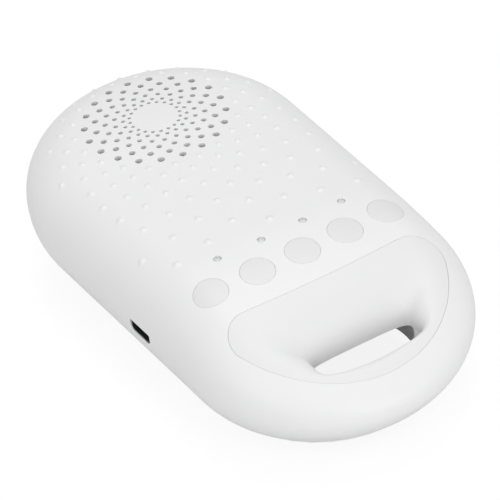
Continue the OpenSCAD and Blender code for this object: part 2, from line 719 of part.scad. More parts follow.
module charging_socket() {
    l = socket_body[1] / 2;
    h = socket_body[2];
    c = 0.7;
    color(black_part) translate([socket_mouth_x, socket_y, main_top_z]) rotate([90, 0, 90]) {
        linear_extrude(socket_body[0]) difference() {
            polygon([[-l, h], [-l, c], [c - l, 0], [l - c, 0], [l, c], [l, h]]);
            polygon([[0.3 - l, h - 0.3], [0.3 - l, c + 0.2], [c + 0.1 - l, 0.3], [l - c - 0.1, 0.3], [l - 0.3, c + 0.2], [l - 0.3, h - 0.3]]);
        }
        translate([0, 0, socket_body[0] - 0.4]) linear_extrude(0.4)
            polygon([[-l, h], [-l, c], [c - l, 0], [l - c, 0], [l, c], [l, h]]);
        translate([-2, h / 2 - 0.3, 1]) cube([4, 0.6, socket_body[0] - 1.2]);
    }
}
module board_chips() {
    color(black_part) {
        translate([-8, main_front_y + 4, main_top_z]) cube([8, 8, 1.2]);
        translate([-16, main_front_y + 3, main_top_z]) cube([5, 4, 1]);
        translate([main_right_x - 11.75, main_back_y - 12, main_top_z]) cube([5, 6, 1.4]);
    }
}
module capacitors() {
    color(steel) for (y = [main_front_y + 9, main_front_y + 3]) translate([main_right_x - 3.2, y, main_top_z])
        cylinder(r = 2, h = 1.9, $fn = 32);
}
battery_plug = [7, 4, 3];
battery_plug_x = -9;
battery_front_y = battery_y - battery_l / 2;
battery_plug_y = battery_front_y - 0.5 - battery_plug[1];
module battery_connector() {
    color("#e9e4d4") translate([battery_plug_x, battery_plug_y, main_top_z - board_t - battery_plug[2]])
        cube(battery_plug);
}
speaker_plug_x = -7;
module speaker_connector() {
    color("#e9e4d4") translate([speaker_plug_x - 3, main_back_y - 4, main_top_z]) cube([6, 4, 3.4]);
}

// ---- battery ------------------------------------------------------------------

module battery() {
    r = battery_t / 2 - 0.5;
    color("#c9ccd2") translate([0, battery_y, battery_z]) rotate([90, 0, 0])
        linear_extrude(battery_l, center = true) {
            translate([r - battery_w / 2, 0]) square([battery_w - 2 * r, battery_t]);
            translate([-battery_w / 2, r]) square([battery_w, battery_t - 2 * r]);
            for (x = [r - battery_w / 2, battery_w / 2 - r], z = [r, battery_t - r])
                translate([x, z]) circle(r = r, $fn = 32);
        }
}
module battery_pad() {
    color("#3a3a3a") translate([-battery_w / 2 + 4, battery_y - battery_l / 2 + 3, cover_floor_z])
        cube([battery_w - 8, battery_l - 6, pad_t]);
}

// ---- leads --------------------------------------------------------------------

// A thin round lead along a list of points; each ring lies square to the path
lead_r = 0.6;
lead_sides = 8;
function unit(v) = v / norm(v);
function along(path, k) = k == 0 ? unit(path[1] - path[0])
    : k == len(path) - 1 ? unit(path[k] - path[k - 1])
    : unit(unit(path[k + 1] - path[k]) + unit(path[k] - path[k - 1]));
module lead(path) {
    last = len(path) - 1;
    points = [for (k = [0 : last]) let (t = along(path, k), u = unit(cross(t, [1, 0.02, 0.03])), v = cross(t, u))
        for (i = [0 : lead_sides - 1]) let (a = 360 * i / lead_sides)
            path[k] + lead_r * (cos(a) * u + sin(a) * v)];
    sides = [for (k = [0 : last - 1]) for (i = [0 : lead_sides - 1])
        let (j = (i + 1) % lead_sides, a = k * lead_sides, b = a + lead_sides)
        each [[a + i, b + j, a + j], [a + i, b + i, b + j]]];
    start_cap = [for (i = [0 : lead_sides - 1]) i];
    end_cap = [for (i = [lead_sides - 1 : -1 : 0]) last * lead_sides + i];
    polyhedron(points, concat(sides, [start_cap, end_cap]));
}
lead_pitch = 2;

// The leads leave the battery's end and turn back up into the connector's front
module battery_leads() {
    low_z = battery_z + battery_t - 3;
    high_z = main_top_z - board_t - battery_plug[2] / 2;
    r = (high_z - low_z) / 2;
    color("#b02a26") for (k = [0, 1]) {
        x = battery_plug_x + battery_plug[0] / 2 + (k - 0.5) * lead_pitch;
        lead(concat([[x, battery_front_y - 0.02, low_z]],
            [for (a = [0 : 15 : 180]) [x, battery_plug_y - 0.3 - 1.4 * sin(a), low_z + r - r * cos(a)]],
            [[x, battery_plug_y - 0.02, high_z]]));
    }
}
module speaker_leads() {
    a = [main_back_y + 0.02, main_top_z + 1.7];
    b = [speaker_y - flange_in_r - 1.22, basket_z - 0.75];
    color("#3c3c40") for (k = [0, 1]) {
        x = speaker_plug_x + (k - 0.5) * lead_pitch;
        lead(concat([[x, a[0], a[1]]],
            [for (n = [0 : 10]) let (t = n / 10, s = t * t * (3 - 2 * t))
                [x, mix(a[0] + 0.8, b[0] - 0.8, t), mix(a[1], b[1], s) - 0.6 * pow(sin(180 * t), 2)]],
            [[x, b[0], b[1]]]));
    }
}

// ---- feet and fasteners -------------------------------------------------------

module rubber_feet() {
    color(black_part) for (p = foot_at) translate([p[0], p[1], 0]) cylinder(r = foot_r, h = foot_t, $fn = 32);
}

// A screw pointing up: its head hangs below the given height
module screw_up(p, z, length) {
    translate([p[0], p[1], z - head_h]) difference() {
        cylinder(r = head_r, h = head_h, $fn = 32);
        translate([0, 0, -0.1]) cylinder(r = 0.7, h = 0.7, $fn = 24);
    }
    translate([p[0], p[1], z]) cylinder(r = screw_r, h = length, $fn = 24);
}
module cover_screws() {
    color(steel) for (p = cover_screw_at) screw_up(p, cover_head_z, 7);
}
module scoop_screws() {
    color(steel) for (p = scoop_screw_at) screw_up(p, cover_head_z, 5);
}
module speaker_screws() {
    color(steel) for (p = speaker_screw_at) screw_up(p, basket_z, 3.5);
}
module key_board_screws() {
    color(steel) for (p = key_post_at) screw_up(p, key_board_z - board_t, 5);
}
module main_board_screws() {
    color(steel) for (p = main_post_at) screw_up(p, main_top_z - board_t, 5);
}

housing();
bottom_cover();
handle_liner();
handle_scoop();
button_power();
button_volume_down();
button_volume_up();
button_sound();
button_timer();
light_guides();
speaker_mesh();
speaker_gasket();
speaker_basket();
speaker_surround();
speaker_cone();
dust_cap();
voice_coil();
speaker_spider();
speaker_top_plate();
speaker_magnet();
speaker_yoke();
speaker_terminals();
key_board();
key_switches();
indicator_leds();
pin_header();
main_board();
charging_socket();
board_chips();
capacitors();
battery_connector();
speaker_connector();
battery();
battery_pad();
battery_leads();
speaker_leads();
rubber_feet();
cover_screws();
scoop_screws();
speaker_screws();
key_board_screws();
main_board_screws();
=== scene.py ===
import math
import bmesh
import bpy
import numpy as np
from mathutils import Matrix, Vector
from mathutils.bvhtree import BVHTree


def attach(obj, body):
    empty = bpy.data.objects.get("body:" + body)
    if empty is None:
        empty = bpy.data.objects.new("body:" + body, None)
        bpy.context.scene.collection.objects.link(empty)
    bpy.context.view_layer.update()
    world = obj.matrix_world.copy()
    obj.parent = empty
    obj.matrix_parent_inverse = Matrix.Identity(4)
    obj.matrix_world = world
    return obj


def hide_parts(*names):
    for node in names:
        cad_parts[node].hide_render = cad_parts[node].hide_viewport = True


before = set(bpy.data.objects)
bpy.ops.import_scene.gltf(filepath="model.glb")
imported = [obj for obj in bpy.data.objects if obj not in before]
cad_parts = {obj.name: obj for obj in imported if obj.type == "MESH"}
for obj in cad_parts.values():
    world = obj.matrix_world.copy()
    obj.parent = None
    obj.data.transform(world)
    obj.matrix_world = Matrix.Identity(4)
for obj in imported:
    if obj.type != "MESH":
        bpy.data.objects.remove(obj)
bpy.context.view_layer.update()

MM = 0.001
BODY = "sound_machine_body"

# ---- sizes shared with the part's source, in millimetres -----------------------
BODY_L, BODY_W, BODY_H = 126.5, 67.5, 34.0
FOOT_H, WALL = 0.8, 2.0
CROWN_R, SHOULDER_R, BASE_R = 170.0, 13.5, 18.3
NOSE_START, NOSE_R = 11.5, 91.0
BEND_Z, RISE_POWER = 5.0, 1.7
COVER_INSET = 8.25
SPEAKER_INSET, SLOT_INSET = 27.25, 14.8
SPEAKER_Y = BODY_L / 2 - SPEAKER_INSET
SPEAKER_SEAT_Z, SPEAKER_R, SPEAKER_FLANGE_T = 27.5, 19.0, 1.3
SEAT_RING_PAST, SEAT_RING_W = 0.2, 2
GRILLE_R, GRILLE_INNER_R, GRILLE_RINGS, HOLES = 16.0, 5.75, 6, 20
HOLE_D, HOLE_INNER_D, GRILLE_POWER = 1.65, 0.85, 1.22
BUTTON_DISTANCE, BUTTON_ARC, BUTTON_PITCH = 60.5, 150.0, 11.4
BUTTON_D, BUTTON_GAP, BUTTON_PROUD = 7.8, 0.1, 0.1
SKIRT_DROP, SKIRT_T, SKIRT_PAST, STEM_R = 2.9, 0.8, 0.6, 1.5
SWITCH_H, PLUNGER_H, STEM_GAP = 1.8, 0.9, 0.3
LIGHT_DISTANCE, LIGHT_ARC, LIGHT_PITCH, LIGHT_D = 52.5, 110.0, 10.8, 1.8
LIGHT_FIT, LIGHT_CHIP_H = 0.1, 0.8
PANEL_DISTANCE, PANEL_ARC, PANEL_R, PANEL_CORNER = 69.0, 150.0, 28.5, 6.0
LINER_T = 1.8
SLOT_Y = SLOT_INSET - BODY_L / 2
SLOT_L, SLOT_W, SLOT_Z = 26.0, 8.6, 18.8
# The slot's width lies unevenly about its axis, in shares behind and in front
SLOT_BACK, SLOT_FRONT, SLOT_AXIS_SHIFT = 0.35, 0.65, 0.15
SLOT_AXIS_Y = SLOT_Y + SLOT_AXIS_SHIFT * SLOT_W
SLOT_POWER = 4.5
# How hard the panel rolls over into the slot, in front and behind
ROLL_FRONT, ROLL_BACK = 0.9, 2 / 3
SCOOP_DISTANCE, SCOOP_ARC, SCOOP_R, SCOOP_CORNER, SCOOP_LIP = 59.5, 60.0, 22.0, 5.0, 1.2
SCOOP_FLANGE_T, SCOOP_FLANGE_W, SCOOP_LIFT = 1.6, 2.0, 0.6
SOCKET_Y, SOCKET_Z, SOCKET_L, SOCKET_H = -8.5, 17.2, 8.2, 3.0
SOCKET_BODY_H = 2.6
SEAT_Z = 5.0
KEY_BOARD_Z = 22.0
MAIN_TOP_Z = SOCKET_Z - SOCKET_BODY_H / 2
# Screw posts: their radii, the depths of their bores and where they stand
POST_R, BOARD_POST_R, BORE_R = 2.4, 2.2, 0.8
SPEAKER_BORE, COVER_BORE, BOARD_BORE = 3.3, 7, 5
SPEAKER_POST_OUT, COVER_POST_IN, COVER_POST_FROM_SPEAKER = 2.5, 3.7, (11, 33)
KEY_BOARD_BACK, KEY_POST_X, KEY_POST_IN, KEY_MIDDLE_POST_IN = 7.4, 20, 3, 2.4
MAIN_POST_X, MAIN_POST_BACK = 14, 4.9

HALF_W = BODY_W / 2
SPINE = BODY_L / 2 - HALF_W
SHOULDER_X = HALF_W - SHOULDER_R
BELT_Z = BODY_H - CROWN_R + math.sqrt((CROWN_R - SHOULDER_R) ** 2 - SHOULDER_X ** 2)
BLEND_A = math.asin(SHOULDER_X / (CROWN_R - SHOULDER_R))
BASE_R = min(BASE_R, BELT_Z - FOOT_H)
BASE_X = HALF_W - BASE_R
RIM_D = HALF_W - COVER_INSET

# ---- edges, seams and dots as only the scene has them, in millimetres ----------
PANEL_GAP = 0.05
HOLE_EDGE, BUTTON_HOLE_EDGE, LIGHT_HOLE_EDGE, PANEL_HOLE_EDGE = 0.13, 0.05, 0.07, 0.06
LINER_EDGE, SCOOP_EDGE, SOCKET_EDGE, BUTTON_EDGE, RIM_EDGE = 0.08, 0.3, 0.25, 0.07, 0.3
BUTTON_GROW, BUTTON_CROWN, BUTTON_SINK = 0.06, 0.10, 0.08
LENS_SHOULDER, LENS_CROWN = -0.35, 0.25
# The scoop's mouth: its place above the underside, its lip's edge, and how its inside starts
SCOOP_UP, SCOOP_LIP_EDGE = 0.1, 0.5
SCOOP_DEPTH, SCOOP_STEP_UP = 17.6, 0.002
# How far cutters reach past the surface, and how far a mouth overlaps its hole
CUT_PAST, MOUTH_PAST, BORE_PAST, FLARE_OVERLAP = 3, 2, 1, 0.004
BOARD_CLEARANCE = 0.5
# Raised dots: the radii of their rings around the speaker, and where they stop
BUMP_H, BUMP_SINK, BUMP_ROOT = 0.36, 0.03, 0.5
BUMP_D, BUMP_FAR_D = 1.9, 2.5
BUMP_RINGS = (18.7, 21.6, 24.7, 28.0, 31.5, 35.2, 39.1, 43.3, 47.6, 52.1)
BUMP_MARGIN, BUMP_TO_LIGHT, LIGHT_ROW_Y = 5.2, 3.4, -10
SOCKET_CORNER = 0.45

# Steps along the spine and around an end; on the crown, the shoulder and the base
SIDE_STEPS, END_STEPS = 44, 88
OUTER_STEPS, INNER_STEPS = (22, 26, 12), (10, 12, 6)

# Kinds of face on a piece, kept as material slots until its normals are set
OUTER, CUT, BUMP, INNER = 0, 1, 2, 3


# ---- the domed surface ---------------------------------------------------------
def mix(a, b, t):
    return a * (1 - t) + b * t


def dome_z(d):
    """Height of the top at a distance from the spine, before the nose falls."""
    d = np.asarray(d, float)
    crown = BODY_H - CROWN_R + np.sqrt(CROWN_R ** 2 - np.minimum(d, CROWN_R - 1) ** 2)
    side = BELT_Z + np.sqrt(np.maximum(0, SHOULDER_R ** 2 - (d - SHOULDER_X) ** 2))
    return np.where(d < CROWN_R * math.sin(BLEND_A), crown, side)


def nose_drop(y):
    """How far the crown falls towards the handle end."""
    return np.maximum(0, -NOSE_START - y) ** 2 / (2 * NOSE_R)


def rise(z):
    """The share of the nose's fall that a height takes part in."""
    return np.maximum(0, (z - BEND_Z) / (BODY_H - BEND_Z)) ** RISE_POWER


def from_spine(x, y):
    """How far a place lies from the line that the pill shape is drawn around."""
    return np.hypot(x, y - np.clip(y, -SPINE, SPINE))


def top_z(x, y):
    """Height of the outside's upper half."""
    z = dome_z(from_spine(x, y))
    return z - nose_drop(y) * rise(z)


def under_z(x, y):
    """Height of the rounded underside."""
    d = np.maximum(0, from_spine(x, y) - BASE_X)
    return FOOT_H + BASE_R - np.sqrt(np.maximum(0, BASE_R ** 2 - d ** 2))


def top_normal(x, y, step=0.02):
    gx = (top_z(x + step, y) - top_z(x - step, y)) / (2 * step)
    gy = (top_z(x, y + step) - top_z(x, y - step)) / (2 * step)
    return Vector((-gx, -gy, 1)).normalized()


# ---- mesh helpers --------------------------------------------------------------
def make_mesh(name, points, faces, kinds=None):
    """A mesh in millimetres; to_metres is called once its piece is finished."""
    mesh = bpy.data.meshes.new(name)
    mesh.from_pydata([tuple(float(c) for c in p) for p in points], [], faces)
    if kinds is not None:
        mesh.polygons.foreach_set("material_index", kinds)
    mesh.update()
    return mesh


def make_object(name, data):
    obj = bpy.data.objects.new(name, data)
    bpy.context.scene.collection.objects.link(obj)
    return obj


def to_metres(obj):
    obj.data.transform(Matrix.Scale(MM, 4))
    obj.data.update()
    return obj


def quarter(steps, first=0):
    """The angles of a quarter turn, in equal steps."""
    return [math.pi / 2 * k / steps for k in range(first, steps + 1)]


def circle(x, y, r, count):
    """Places on a circle, as (x, y)."""
    turns = [2 * math.pi * i / count for i in range(count)]
    return [(x + r * math.cos(a), y + r * math.sin(a)) for a in turns]


def ring_faces(count, rings, closed=False, flip=False):
    """Quads between rings of the same number of points."""
    faces = []
    last = rings if closed else rings - 1
    for r in range(last):
        a = r * count
        b = ((r + 1) % rings) * count
        for i in range(count):
            j = (i + 1) % count
            f = (a + i, a + j, b + j, b + i)
            faces.append(f[::-1] if flip else f)
    return faces


def fix_outward(mesh):
    bm = bmesh.new()
    bm.from_mesh(mesh)
    bmesh.ops.recalc_face_normals(bm, faces=bm.faces)
    bm.to_mesh(mesh)
    bm.free()
    return mesh


def pointed_solid(name, rings, first, last, kind=OUTER):
    """A solid from a stack of rings, closed by a fan around one point at each end."""
    count = len(rings[0])
    points = [p for ring in rings for p in ring]
    faces = ring_faces(count, len(rings))
    tip = len(points)
    end = tip - count
    for i in range(count):
        j = (i + 1) % count
        faces.append((tip, j, i))
        faces.append((tip + 1, end + i, end + j))
    return fix_outward(make_mesh(name, points + [first, last], faces, [kind] * len(faces)))


def flat_solid(name, rings):
    """A cutter from a stack of rings, closed by one flat face at each end."""
    count = len(rings[0])
    points = [tuple(p) for ring in rings for p in ring]
    end = len(points) - count
    faces = ring_faces(count, len(rings))
    faces += [tuple(range(count))[::-1], tuple(range(end, end + count))]
    return fix_outward(make_mesh(name, points, faces, [CUT] * len(faces)))


def revolve(profile, segments=48, kind=OUTER):
    """A closed solid from (radius, height) points, first and last on the axis."""
    rings = [[(x, y, z) for x, y in circle(0, 0, r, segments)] for r, z in profile[1:-1]]
    return pointed_solid("revolved", rings, (0, 0, profile[0][1]), (0, 0, profile[-1][1]), kind)


def join_meshes(name, meshes):
    bm = bmesh.new()
    for m in meshes:
        bm.from_mesh(m)
    mesh = bpy.data.meshes.new(name)
    bm.to_mesh(mesh)
    bm.free()
    return mesh


def boolean(target, other_mesh, operation):
    """Applies an exact boolean with another mesh to the target object."""
    other = make_object("boolean_tool", other_mesh)
    for mat in target.data.materials:
        other.data.materials.append(mat)
    mod = target.modifiers.new("boolean", "BOOLEAN")
    mod.object = other
    mod.operation = operation
    mod.solver = "EXACT"
    mod.material_mode = "INDEX"
    deps = bpy.context.evaluated_depsgraph_get()
    new = bpy.data.meshes.new_from_object(target.evaluated_get(deps))
    target.modifiers.clear()
    old = target.data
    target.data = new
    bpy.data.meshes.remove(old)
    bpy.data.objects.remove(other)


def placed(mesh, x, y, z, normal=None):
    m = Matrix.Translation(Vector((x, y, z)))
    if normal is not None:
        m = m @ Vector((0, 0, 1)).rotation_difference(normal).to_matrix().to_4x4()
    mesh.transform(m)
    return mesh


def clean_field(points, faces):
    """A function that gives the smooth normal of a finely divided surface near a point."""
    mesh = make_mesh("field", points, faces)
    coords = [v.co.copy() for v in mesh.vertices]
    normals = [v.normal.copy() for v in mesh.vertices]
    polys = [tuple(p.vertices) for p in mesh.polygons]
    tree = BVHTree.FromPolygons(coords, polys)

    def normal_at(co):
        hit = tree.find_nearest(co)
        total = Vector((0, 0, 0))
        for i in polys[hit[2]]:
            total += normals[i] / ((coords[i] - hit[0]).length + 1e-9)
        return total.normalized()
    return normal_at


def set_normals(mesh, rule=None, sharp=40):
    """Smooth normals with hard edges between kinds of face; rule may give a normal."""
    bm = bmesh.new()
    bm.from_mesh(mesh)
    limit = math.radians(sharp)
    for e in bm.edges:
        pair = e.link_faces
        hard = len(pair) != 2 or pair[0].material_index != pair[1].material_index
        e.smooth = not (hard or e.calc_face_angle(0) > limit)
    for f in bm.faces:
        f.smooth = True
    bm.to_mesh(mesh)
    bm.free()
    flat = np.zeros(len(mesh.loops) * 3, np.float32)
    mesh.corner_normals.foreach_get("vector", flat)
    out = flat.reshape(-1, 3)
    for p in mesh.polygons if rule else []:
        for k in p.loop_indices:
            n = rule(p.material_index, mesh.vertices[mesh.loops[k].vertex_index].co)
            if n is not None:
                out[k] = n
    mesh.normals_split_custom_set([tuple(n) for n in out])


# ---- places on the top ---------------------------------------------------------
def on_arc(distance, r, length):
    """A place on a shallow arc across the body, the given length from its middle."""
    a = length / r
    return r * math.sin(a), SPEAKER_Y - distance + r * (1 - math.cos(a))


BUTTON_AT = [on_arc(BUTTON_DISTANCE, BUTTON_ARC, k * BUTTON_PITCH) for k in (-2, -1, 0, 1, 2)]
LIGHT_AT = [on_arc(LIGHT_DISTANCE, LIGHT_ARC, k * LIGHT_PITCH) for k in (-1.5, -0.5, 0.5, 1.5)]


def ring_places(ring, r):
    """The places of a ring around the speaker; every other ring is turned by half a step."""
    for i in range(HOLES):
        a = 2 * math.pi / HOLES * (i + (ring % 2) / 2)
        yield r * math.cos(a), SPEAKER_Y + r * math.sin(a)


def grille_places():
    for k in range(GRILLE_RINGS):
        share = (k / (GRILLE_RINGS - 1)) ** GRILLE_POWER
        for x, y in ring_places(k, mix(GRILLE_INNER_R, GRILLE_R, share)):
            yield x, y, mix(HOLE_INNER_D, HOLE_D, share)


def bump_places():
    for k, r in enumerate(BUMP_RINGS):
        for x, y in ring_places(k, r):
            off = math.hypot(x, y - max(-SPINE, min(SPINE, y)))
            near_light = any(math.hypot(x - p[0], y - p[1]) < BUMP_TO_LIGHT for p in LIGHT_AT)
            if off <= HALF_W - BUMP_MARGIN and not (y < LIGHT_ROW_Y and near_light):
                yield x, y, mix(BUMP_D, BUMP_FAR_D, k / (len(BUMP_RINGS) - 1))


# ---- outlines of the handle ----------------------------------------------------
def d_outline(distance, arc_r, round_r, corner_r, steps=(150, 30, 70)):
    """The D-shaped outline of the source, as an array of (x, y)."""
    middle = SPEAKER_Y - distance + arc_r
    far, near = arc_r + corner_r, round_r - corner_r
    gap = middle + SPINE
    cy = (gap * gap + near * near - far * far) / (2 * gap) - SPINE
    cx = math.sqrt(near * near - (cy + SPINE) ** 2)
    low = math.atan2(cy + SPINE, cx)
    high = math.atan2(middle - cy, cx)
    top = math.atan2(cx, middle - cy)
    out = []
    for k in range(steps[0] + 1):
        a = -math.pi - low + (math.pi + 2 * low) * k / steps[0]
        out.append((round_r * math.cos(a), -SPINE + round_r * math.sin(a)))
    for k in range(1, steps[1] + 1):
        a = low + (high - low) * k / steps[1]
        out.append((cx + corner_r * math.cos(a), cy + corner_r * math.sin(a)))
    for k in range(1, steps[2]):
        a = top - 2 * top * k / steps[2]
        out.append((arc_r * math.sin(a), middle - arc_r * math.cos(a)))
    for k in range(steps[1]):
        a = math.pi - high + (high - low) * k / steps[1]
        out.append((-cx + corner_r * math.cos(a), cy + corner_r * math.sin(a)))
    return np.array(out)


def panel_outline(grow):
    return d_outline(PANEL_DISTANCE - grow, PANEL_ARC - grow, PANEL_R + grow, PANEL_CORNER + grow)


def scoop_outline(grow):
    return d_outline(SCOOP_DISTANCE - grow, SCOOP_ARC - grow, SCOOP_R + grow, SCOOP_CORNER + grow)


def slot_points(rim, grow):
    """The slot's rim, each point led to from the same share of the outline's reach."""
    x, y = rim[:, 0], rim[:, 1] - SLOT_AXIS_Y
    back = y > 0
    u = x / x.max()
    v = y / np.where(back, y.max(), -y.min())
    s = (np.abs(u) ** SLOT_POWER + np.abs(v) ** SLOT_POWER) ** (-1 / SLOT_POWER)
    half_w = np.where(back, SLOT_BACK, SLOT_FRONT) * SLOT_W + grow
    return np.stack([u * s * (SLOT_L / 2 + grow), SLOT_AXIS_Y + v * s * half_w], 1)


def roll(rim, a):
    """Shares of the way from the rim to the slot and of the way down, at one angle."""
    turn = np.arctan2(rim[:, 1] - SLOT_AXIS_Y, rim[:, 0])
    power = mix(ROLL_FRONT, ROLL_BACK, 0.5 + 0.5 * np.sin(turn))
    return (math.sin(a) ** power)[:, None], 1 - max(0.0, math.cos(a)) ** power


def scoop_rise(t):
    """The share of the scoop's height at a share of its way, steep at first."""
    return 1.5 * t - 0.5 * t * t


def rounded(outline, radius, steps=5):
    """A polygon with its corners rounded."""
    out = []
    n = len(outline)
    for i in range(n):
        p, a, b = (np.array(outline[k % n], float) for k in (i, i - 1, i + 1))
        u, v = (a - p) / np.linalg.norm(a - p), (b - p) / np.linalg.norm(b - p)
        half = math.acos(max(-1, min(1, float(u @ v)))) / 2
        t = radius / math.tan(half)
        centre = p + (u + v) / np.linalg.norm(u + v) * radius / math.sin(half)
        s, e = p + u * t - centre, p + v * t - centre
        for k in range(steps + 1):
            w = s * (1 - k / steps) + e * (k / steps)
            out.append(tuple(centre + w / np.linalg.norm(w) * radius))
    return out


# ---- the housing's shell -------------------------------------------------------
def stations():
    """Around the pill: (y on the spine, direction x, direction y, step along the spine)."""
    out = []
    for k in range(SIDE_STEPS + 1):
        out.append((-SPINE + 2 * SPINE * k / SIDE_STEPS, 1.0, 0.0, k))
    for k in range(1, END_STEPS):
        a = math.pi * k / END_STEPS
        out.append((SPINE, math.cos(a), math.sin(a), SIDE_STEPS))
    for k in range(SIDE_STEPS + 1):
        out.append((SPINE - 2 * SPINE * k / SIDE_STEPS, -1.0, 0.0, SIDE_STEPS - k))
    for k in range(1, END_STEPS):
        a = math.pi + math.pi * k / END_STEPS
        out.append((-SPINE, math.cos(a), math.sin(a), 0))
    return out


def section(inset, crown_steps, shoulder_steps, base_steps):
    """Profile points (distance from the spine, height, height on the outside)."""
    path = []

    def top_arc(x, z, full_r, first, last, steps):
        r = full_r - inset
        for k in range(1, steps + 1):
            a = first + (last - first) * k / steps
            path.append((x + r * math.sin(a), z + r * math.cos(a), z + full_r * math.cos(a)))
    top_arc(0, BODY_H - CROWN_R, CROWN_R, 0, BLEND_A, crown_steps)
    top_arc(SHOULDER_X, BELT_Z, SHOULDER_R, BLEND_A, math.pi / 2, shoulder_steps)
    r = BASE_R - inset
    end_a = math.acos((RIM_D - BASE_X) / r)
    for k in range(base_steps + 1):
        a = end_a * k / base_steps
        outside_z = FOOT_H + BASE_R * (1 - math.sin(a))
        path.append((BASE_X + r * math.cos(a), FOOT_H + BASE_R - r * math.sin(a), outside_z))
    return path


def shell_points(around, inset, steps):
    """Rings from the crown down to the rim, and the line of points along the crown."""
    rings = []
    for d, z, outside_z in section(inset, *steps):
        ring = []
        for spine_y, dx, dy, _ in around:
            y = spine_y + d * dy
            ring.append((d * dx, y, z - float(nose_drop(y) * rise(outside_z))))
        rings.append(ring)
    line = []
    for k in range(SIDE_STEPS + 1):
        y = -SPINE + 2 * SPINE * k / SIDE_STEPS
        line.append((0, y, BODY_H - inset - float(nose_drop(y))))
    return rings, line


def cap_faces(around, first, line_start, flip):
    """Faces between the innermost ring and the line of points along the crown."""
    faces = []
    n = len(around)
    for i in range(n):
        j = (i + 1) % n
        a, b = line_start + around[i][3], line_start + around[j][3]
        f = (first + i, first + j, b) if a == b else (first + i, first + j, b, a)
        faces.append(f[::-1] if flip else f)
    return faces


def unit_rows(rows):
    return rows / np.linalg.norm(rows, axis=1)[:, None]


def housing_shell():
    """The bare shell without holes, and the smooth normals of its outside."""
    around = stations()
    outer, line = shell_points(around, 0, OUTER_STEPS)
    inner, inner_line = shell_points(around, WALL, INNER_STEPS)
    n = len(around)
    rim = np.array(outer[-1])
    across = unit_rows(np.array(inner[-1]) - rim)
    down = unit_rows(rim - np.array(outer[-2]))
    outer = outer[:-1]
    for a in quarter(5):
        inward, upward = RIM_EDGE * (1 - math.cos(a)), RIM_EDGE * (1 - math.sin(a))
        outer.append([tuple(p) for p in rim + across * inward - down * upward])
    points = [p for ring in outer + inner[::-1] for p in ring]
    rings = len(outer) + len(inner)
    faces = ring_faces(n, rings, flip=True)
    kinds = [OUTER] * (n * (len(outer) - 1)) + [INNER] * (n * (rings - len(outer)))
    start = len(points)
    points += line + inner_line
    top = cap_faces(around, 0, start, False)
    low = cap_faces(around, (rings - 1) * n, start + len(line), True)
    faces += top + low
    kinds += [OUTER] * len(top) + [INNER] * len(low)
    mesh = make_mesh("housing_shell", points, faces, kinds)
    outside = [f for f, k in zip(faces, kinds) if k == OUTER]
    return fix_outward(mesh), clean_field(points, outside)


# ---- what is added to the shell and cut from it --------------------------------
def hole_cutter(x, y, d, edge, low_z, segments):
    """A drill along Z, and its mouth, rounded along the surface's own normal."""
    z = float(top_z(x, y))
    r = d / 2
    drill = revolve([(0, low_z), (r, low_z), (r, z + CUT_PAST), (0, z + CUT_PAST)], segments, CUT)
    flare = [(0, -edge)]
    for a in quarter(4):
        flare.append((r - FLARE_OVERLAP + edge * (1 - math.cos(a)), -edge * (1 - math.sin(a))))
    flare += [(r + edge, MOUTH_PAST), (0, MOUTH_PAST)]
    mouth = placed(revolve(flare, segments, CUT), x, y, z, top_normal(x, y))
    return placed(drill, x, y, 0), mouth


def bump_mesh(x, y, d, steps=8):
    r = d / 2
    profile = [(0, -BUMP_ROOT), (r, -BUMP_ROOT), (r, -BUMP_SINK)]
    for k in range(1, steps + 1):
        q = r * (1 - k / steps)
        profile.append((q, BUMP_H * 0.5 * (1 + math.cos(math.pi * q / r)) - BUMP_SINK * (q / r)))
    return placed(revolve(profile, 20, BUMP), x, y, float(top_z(x, y)), top_normal(x, y))


def ring_at(outline, z):
    return np.column_stack([outline, np.full(len(outline), z) if np.isscalar(z) else z])


def edge_rings(outline_of, edge, grow, turn):
    """Rings of a rounded edge under the dome; it widens upwards with turn 1, narrows with -1."""
    rings = []
    for a in quarter(5):
        o = outline_of(grow + turn * edge * (1 - math.cos(a)))
        rings.append(ring_at(o, top_z(o[:, 0], o[:, 1]) - edge * (1 - math.sin(a))))
    return rings


def panel_cutter():
    """The panel's opening, with its mouth rounded where it meets the dome."""
    rings = [ring_at(panel_outline(0), SLOT_Z)]
    rings += edge_rings(panel_outline, PANEL_HOLE_EDGE, 0, 1)
    rings.append(ring_at(panel_outline(PANEL_HOLE_EDGE), BODY_H + CUT_PAST))
    return flat_solid("panel_cut", rings)


def socket_cutter():
    """The cut-out in the side: an oblong with its two lower corners taken off."""
    l, h, c = SOCKET_L / 2, SOCKET_H / 2, SOCKET_H / 3
    outline = [(-l, h), (-l, c - h), (c - l, -h), (l - c, -h), (l, c - h), (l, h)]
    edge = SOCKET_EDGE
    # Depths from the side, and how much wider the outline is there
    depths = ((WALL + 1.2, 0), (edge, 0), (0.06, edge * 0.55), (-0.02, edge), (-MOUTH_PAST, edge))
    rings = []
    for depth, grow in depths:
        ring = []
        for y, z in rounded(outline, SOCKET_CORNER):
            s = 1 + grow / math.hypot(y, z)
            ring.append((-HALF_W + depth, SOCKET_Y + y * s, SOCKET_Z + z * s))
        rings.append(ring)
    return flat_solid("socket_cut", rings)


def post_ring(x, y, r, segments, low_z=None):
    """A post's ring at a height or, without one, inside the dome's wall."""
    ring = []
    for px, py in circle(x, y, r, segments):
        ring.append((px, py, float(top_z(px, py)) - WALL / 2 if low_z is None else low_z))
    return ring


def post(x, y, low_z, r, segments=32):
    """A post that stands under the dome and ends inside its wall."""
    rings = [post_ring(x, y, r, segments, low_z), post_ring(x, y, r, segments)]
    tip = (x, y, float(top_z(x, y)) - WALL / 2)
    return pointed_solid("post", rings, (x, y, low_z), tip, INNER)


